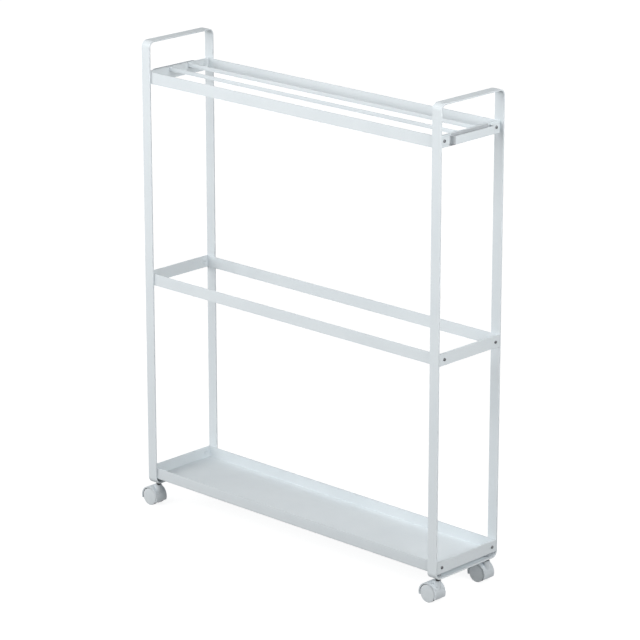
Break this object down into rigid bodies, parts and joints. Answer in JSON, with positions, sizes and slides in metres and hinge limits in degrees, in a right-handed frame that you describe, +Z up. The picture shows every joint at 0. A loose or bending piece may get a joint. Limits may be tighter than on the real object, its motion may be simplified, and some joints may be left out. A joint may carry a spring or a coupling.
{
  "type": "rolling pantry cart",
  "caption": "Slim wheeled storage cart: flat-bar end frames, slatted top shelf, open middle frame, bottom tray, strap pull handles and hooded twin-wheel swivel casters.",
  "frame": {"origin": "on the floor under the middle of the cart's bounding box, casters trailing towards -X", "axes": "+X along the cart's length, -Y towards its front long side, +Z up"},
  "size_m": [0.6894, 0.15, 0.825],
  "materials": {
    "powder_coat": "cool white satin powder coat on steel",
    "screw_steel": "dark pan-head screws",
    "zinc_plate": "bright zinc plating",
    "stem_steel": "dark oiled steel caster stems",
    "caster_plastic": "light grey-white moulded nylon, satin",
    "wheel_plastic": "light grey-white moulded nylon wheel"
  },
  "bodies": {
    "cart_frame": {"left_end_frame": "powder_coat", "left_top_plate": "powder_coat", "left_middle_plate": "powder_coat", "left_bottom_plate": "powder_coat", "right_end_frame": "powder_coat", "right_top_plate": "powder_coat", "right_middle_plate": "powder_coat", "right_bottom_plate": "powder_coat", "top_front_rail": "powder_coat", "top_back_rail": "powder_coat", "top_left_end_wall": "powder_coat", "top_right_end_wall": "powder_coat", "middle_front_rail": "powder_coat", "middle_back_rail": "powder_coat", "middle_left_end_wall": "powder_coat", "middle_right_end_wall": "powder_coat", "bottom_left_end_wall": "powder_coat", "bottom_right_end_wall": "powder_coat", "top_front_slat": "powder_coat", "top_back_slat": "powder_coat", "tray": "powder_coat", "left_handle": "powder_coat", "right_handle": "powder_coat", "top_left_front_screw": "screw_steel", "top_left_back_screw": "screw_steel", "top_right_front_screw": "screw_steel", "top_right_back_screw": "screw_steel", "middle_left_front_screw": "screw_steel", "middle_left_back_screw": "screw_steel", "middle_right_front_screw": "screw_steel", "middle_right_back_screw": "screw_steel", "bottom_left_front_screw": "screw_steel", "bottom_left_back_screw": "screw_steel", "bottom_right_front_screw": "screw_steel", "bottom_right_back_screw": "screw_steel", "left_front_caster_stem": "stem_steel", "left_front_stem_nut": "zinc_plate", "left_back_caster_stem": "stem_steel", "left_back_stem_nut": "zinc_plate", "right_front_caster_stem": "stem_steel", "right_front_stem_nut": "zinc_plate", "right_back_caster_stem": "stem_steel", "right_back_stem_nut": "zinc_plate"},
    "left_front_swivel": {"left_front_caster_housing": "caster_plastic", "left_front_caster_axle": "zinc_plate"},
    "left_front_front_wheel_body": {"left_front_caster_front_wheel": "wheel_plastic"},
    "left_front_back_wheel_body": {"left_front_caster_back_wheel": "wheel_plastic"},
    "left_back_swivel": {"left_back_caster_housing": "caster_plastic", "left_back_caster_axle": "zinc_plate"},
    "left_back_front_wheel_body": {"left_back_caster_front_wheel": "wheel_plastic"},
    "left_back_back_wheel_body": {"left_back_caster_back_wheel": "wheel_plastic"},
    "right_front_swivel": {"right_front_caster_housing": "caster_plastic", "right_front_caster_axle": "zinc_plate"},
    "right_front_front_wheel_body": {"right_front_caster_front_wheel": "wheel_plastic"},
    "right_front_back_wheel_body": {"right_front_caster_back_wheel": "wheel_plastic"},
    "right_back_swivel": {"right_back_caster_housing": "caster_plastic", "right_back_caster_axle": "zinc_plate"},
    "right_back_front_wheel_body": {"right_back_caster_front_wheel": "wheel_plastic"},
    "right_back_back_wheel_body": {"right_back_caster_back_wheel": "wheel_plastic"}
  },
  "joints": [
    {"name": "left_front_swivel_turn", "type": "hinge", "parent": "cart_frame", "child": "left_front_swivel", "pos_m": [-0.3143, -0.06, 0.033], "axis": [0, 0, 1], "continuous": true},
    {"name": "left_front_front_wheel_roll", "type": "hinge", "parent": "left_front_swivel", "child": "left_front_front_wheel_body", "pos_m": [-0.3263, -0.0678, 0.015], "axis": [0, 1, 0], "continuous": true},
    {"name": "left_front_back_wheel_roll", "type": "hinge", "parent": "left_front_swivel", "child": "left_front_back_wheel_body", "pos_m": [-0.3263, -0.0522, 0.015], "axis": [0, 1, 0], "continuous": true},
    {"name": "left_back_swivel_turn", "type": "hinge", "parent": "cart_frame", "child": "left_back_swivel", "pos_m": [-0.3143, 0.06, 0.033], "axis": [0, 0, 1], "continuous": true},
    {"name": "left_back_front_wheel_roll", "type": "hinge", "parent": "left_back_swivel", "child": "left_back_front_wheel_body", "pos_m": [-0.3263, 0.0522, 0.015], "axis": [0, 1, 0], "continuous": true},
    {"name": "left_back_back_wheel_roll", "type": "hinge", "parent": "left_back_swivel", "child": "left_back_back_wheel_body", "pos_m": [-0.3263, 0.0678, 0.015], "axis": [0, 1, 0], "continuous": true},
    {"name": "right_front_swivel_turn", "type": "hinge", "parent": "cart_frame", "child": "right_front_swivel", "pos_m": [0.3307, -0.06, 0.033], "axis": [0, 0, 1], "continuous": true},
    {"name": "right_front_front_wheel_roll", "type": "hinge", "parent": "right_front_swivel", "child": "right_front_front_wheel_body", "pos_m": [0.3187, -0.0678, 0.015], "axis": [0, 1, 0], "continuous": true},
    {"name": "right_front_back_wheel_roll", "type": "hinge", "parent": "right_front_swivel", "child": "right_front_back_wheel_body", "pos_m": [0.3187, -0.0522, 0.015], "axis": [0, 1, 0], "continuous": true},
    {"name": "right_back_swivel_turn", "type": "hinge", "parent": "cart_frame", "child": "right_back_swivel", "pos_m": [0.3307, 0.06, 0.033], "axis": [0, 0, 1], "continuous": true},
    {"name": "right_back_front_wheel_roll", "type": "hinge", "parent": "right_back_swivel", "child": "right_back_front_wheel_body", "pos_m": [0.3187, 0.0522, 0.015], "axis": [0, 1, 0], "continuous": true},
    {"name": "right_back_back_wheel_roll", "type": "hinge", "parent": "right_back_swivel", "child": "right_back_back_wheel_body", "pos_m": [0.3187, 0.0678, 0.015], "axis": [0, 1, 0], "continuous": true}
  ]
}
